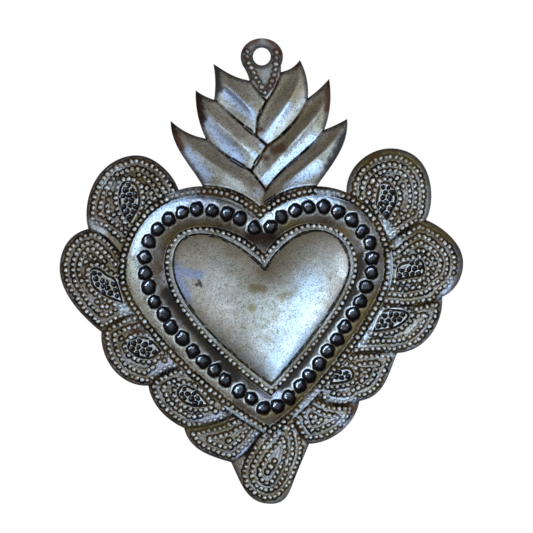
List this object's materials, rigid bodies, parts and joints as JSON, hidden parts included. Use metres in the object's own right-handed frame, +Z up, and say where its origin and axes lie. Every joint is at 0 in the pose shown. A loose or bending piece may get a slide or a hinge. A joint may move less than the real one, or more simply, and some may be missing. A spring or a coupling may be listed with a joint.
{
  "type": "hanging heart ornament",
  "caption": "Flat tinplate heart ornament with a puffed heart, beaded rims, a dented trough, scalloped petals, a leafy flame and a hanging eyelet.",
  "frame": {"origin": "centre of the eyelet's hole, half way through the sheet", "axes": "+Z up as the ornament hangs, +X to the viewer's right, -Y out of the front towards the viewer"},
  "size_m": [0.1048, 0.0065, 0.1218],
  "materials": {
    "tin_dome": "worn bright tinplate with fine scratches and dark specks",
    "tin_rim": "aged tinplate with dark patina between beads",
    "tin_trough": "aged tinplate with near-black dents",
    "tin_petal": "aged tinplate with brown patina in chased lines",
    "tin_flame": "aged tinplate with rust at the tips",
    "tin_eyelet": "aged tinplate with rust at the edge"
  },
  "bodies": {
    "root": {"heart_dome": "tin_dome", "inner_bead_rim": "tin_rim", "dented_trough": "tin_trough", "outer_bead_rim": "tin_rim", "hanging_eyelet": "tin_eyelet", "petal_left_1": "tin_petal", "petal_left_2": "tin_petal", "petal_left_3": "tin_petal", "petal_left_4": "tin_petal", "petal_left_5": "tin_petal", "petal_bottom": "tin_petal", "petal_right_5": "tin_petal", "petal_right_4": "tin_petal", "petal_right_3": "tin_petal", "petal_right_2": "tin_petal", "petal_right_1": "tin_petal", "leaf_left_top": "tin_flame", "leaf_left_middle": "tin_flame", "leaf_left_low": "tin_flame", "leaf_right_top": "tin_flame", "leaf_right_middle": "tin_flame", "leaf_right_low": "tin_flame"}
  },
  "joints": []
}
